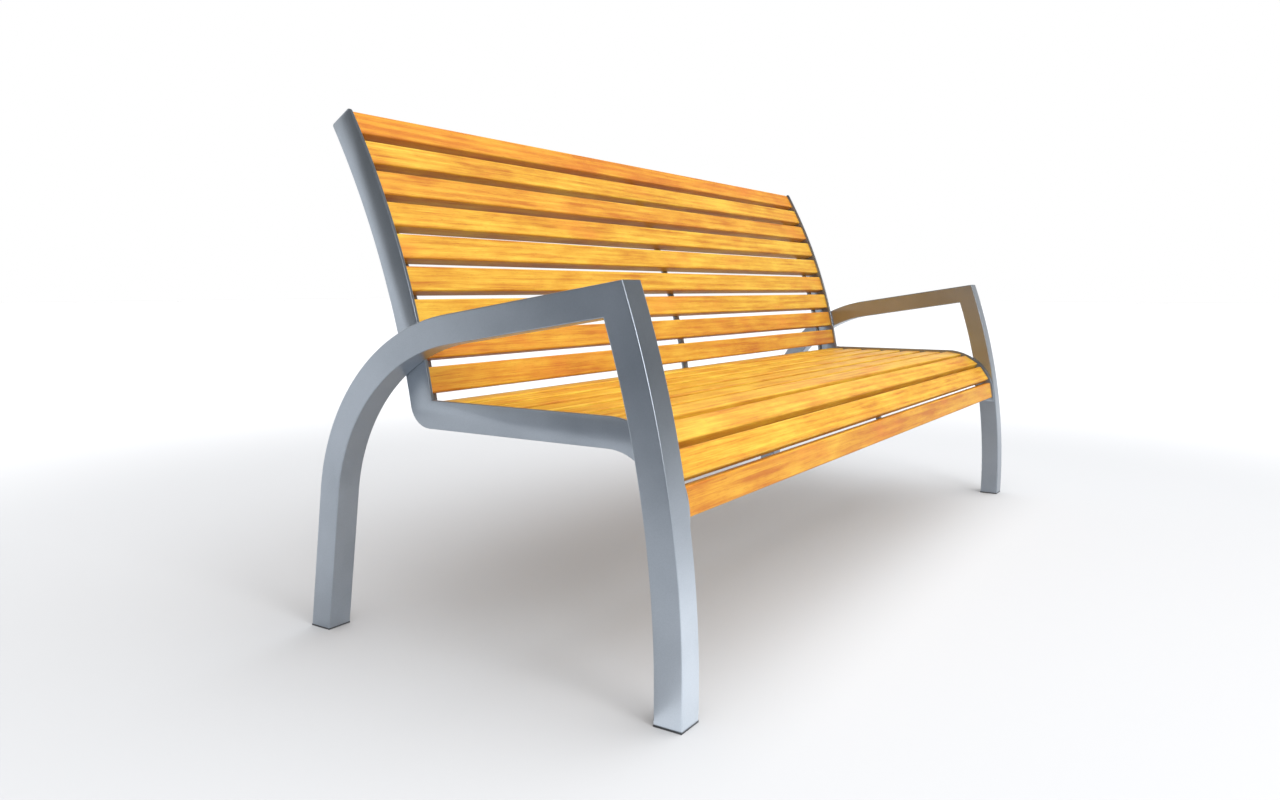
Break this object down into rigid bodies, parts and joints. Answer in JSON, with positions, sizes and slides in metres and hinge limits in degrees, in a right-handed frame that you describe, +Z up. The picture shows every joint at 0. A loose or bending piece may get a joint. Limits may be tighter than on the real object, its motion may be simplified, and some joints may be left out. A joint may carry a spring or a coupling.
{
  "type": "park bench",
  "caption": "Slatted timber bench with a curved back, a rolled front edge, two bent tube end frames with armrests, and curved steel side plates.",
  "frame": {"origin": "on the floor, under the centre of the bench's box", "axes": "+Z up, X along the bench, -Y towards the sitter's front"},
  "size_m": [1.8, 0.749, 0.872],
  "materials": {
    "steel": "satin powder coat, blue-grey",
    "timber": "clear satin oil on golden hardwood",
    "glide": "moulded, matte",
    "screw": "plain stainless"
  },
  "bodies": {
    "root": {"left_front_leg": "steel", "right_front_leg": "steel", "left_arm_and_rear_leg": "steel", "right_arm_and_rear_leg": "steel", "left_side_plate": "steel", "right_side_plate": "steel", "left_strip": "steel", "centre_strip": "steel", "right_strip": "steel", "strip_lugs": "steel", "left_front_glide": "glide", "right_front_glide": "glide", "left_rear_glide": "glide", "right_rear_glide": "glide", "slat_screws": "screw", "seat_slat_1": "timber", "seat_slat_2": "timber", "seat_slat_3": "timber", "seat_slat_4": "timber", "seat_slat_5": "timber", "seat_slat_6": "timber", "seat_slat_7": "timber", "seat_slat_8": "timber", "seat_slat_9": "timber", "seat_slat_10": "timber", "back_slat_1": "timber", "back_slat_2": "timber", "back_slat_3": "timber", "back_slat_4": "timber", "back_slat_5": "timber", "back_slat_6": "timber", "back_slat_7": "timber", "back_slat_8": "timber", "back_slat_9": "timber"}
  },
  "joints": []
}
